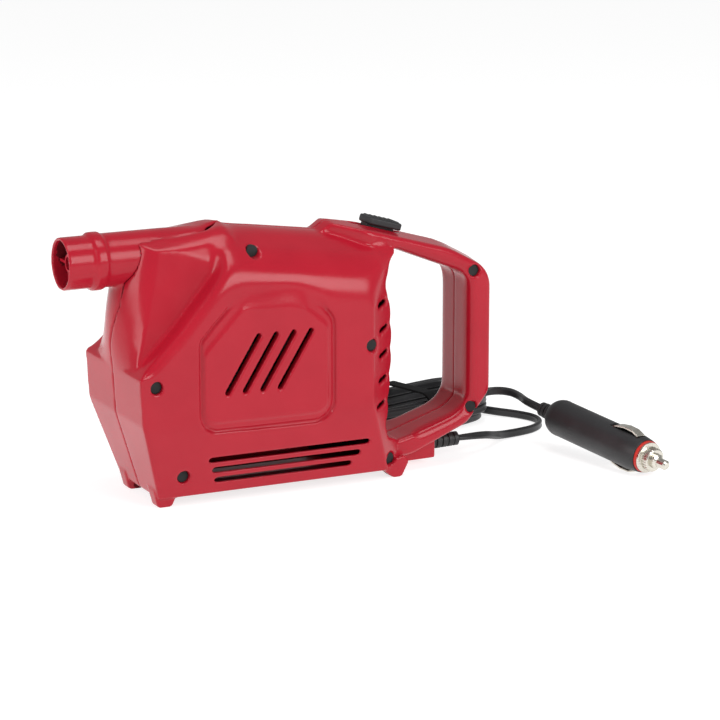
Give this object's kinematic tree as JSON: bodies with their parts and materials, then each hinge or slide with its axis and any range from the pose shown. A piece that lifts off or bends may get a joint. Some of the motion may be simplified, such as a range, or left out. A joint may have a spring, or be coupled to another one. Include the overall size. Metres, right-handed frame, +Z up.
{
  "type": "electric air mattress pump",
  "caption": "Hand-held 12 V air pump with a tube nozzle, D-handle, thumb slide switch, side air slots and a flat cord with a car-socket plug.",
  "frame": {"origin": "on the floor under the middle of the pump's length and width", "axes": "+X from the nozzle to the handle, +Z up, -Y towards the side with the screw heads"},
  "size_m": [0.3169, 0.1946, 0.147],
  "materials": {
    "red_casing": "glossy moulded ABS",
    "black_screw": "black oxide",
    "black_inner": "moulded",
    "white_fan": "moulded nylon",
    "steel": "plated",
    "ferrite": "sintered",
    "copper": "enamelled copper",
    "bronze": "sintered bronze",
    "brass": "stamped",
    "black_knob": "fine texture",
    "red_wire": "PVC sheath",
    "black_wire": "PVC sheath",
    "black_rubber": "moulded PVC",
    "black_cord": "satin PVC sheath",
    "tie": "moulded",
    "black_plug": "satin, fine texture",
    "nickel": "nickel plated",
    "red_insulator": "moulded",
    "fuse": "capped glass fuse"
  },
  "bodies": {
    "pump": {"left_casing": "red_casing", "right_casing": "red_casing", "casing_screws": "black_screw", "nozzle_hub": "red_casing", "volute_housing": "black_inner", "volute_cover": "black_inner", "outlet_duct": "black_inner", "fan_screws": "steel", "motor_can": "steel", "motor_magnets": "ferrite", "motor_end_bell": "black_inner", "motor_brushes": "ferrite", "motor_terminals": "brass", "motor_screws": "steel", "front_bush": "bronze", "rear_bush": "bronze", "switch_body": "black_inner", "switch_terminals": "brass", "wire_switch_to_motor": "red_wire", "wire_cord_to_switch": "red_wire", "wire_cord_to_motor": "black_wire", "strain_relief": "black_rubber", "cord_out": "black_cord", "cord_hank": "black_cord", "cord_tie": "tie", "cord_to_plug": "black_cord", "plug_boot": "black_rubber", "plug_body": "black_plug", "plug_insulator": "red_insulator", "plug_nose_ring": "nickel", "plug_pin_spring": "steel"},
    "rotor": {"impeller": "white_fan", "motor_shaft": "steel", "motor_armature": "steel", "motor_windings": "copper", "motor_commutator": "copper"},
    "slider": {"switch_knob": "black_knob", "switch_slide_strip": "black_inner", "switch_actuator": "black_inner"},
    "pin": {"plug_centre_pin": "nickel", "plug_fuse": "fuse"},
    "upper_contact": {"plug_contact_upper": "nickel"},
    "lower_contact": {"plug_contact_lower": "nickel"}
  },
  "joints": [
    {"name": "switch_slide", "type": "slide", "parent": "pump", "child": "slider", "axis": [-0.9598, 0, 0.2807], "range_m": [0, 0.005]},
    {"name": "rotor_spin", "type": "hinge", "parent": "pump", "child": "rotor", "pos_m": [-0.0229, 0, 0.078], "axis": [0, 1, 0], "continuous": true},
    {"name": "pin_press", "type": "slide", "parent": "pump", "child": "pin", "axis": [-0.2192, 0.9692, 0.1126], "range_m": [0, 0.003], "stiffness_N_per_m": 900, "springref_m": -0.003},
    {"name": "upper_contact_press", "type": "slide", "parent": "pump", "child": "upper_contact", "axis": [-0.0248, 0.1098, -0.9936], "range_m": [0, 0.0012], "stiffness_N_per_m": 2000, "springref_m": -0.0005},
    {"name": "lower_contact_press", "type": "slide", "parent": "pump", "child": "lower_contact", "axis": [0.0248, -0.1098, 0.9936], "range_m": [0, 0.0012], "stiffness_N_per_m": 2000, "springref_m": -0.0005}
  ]
}
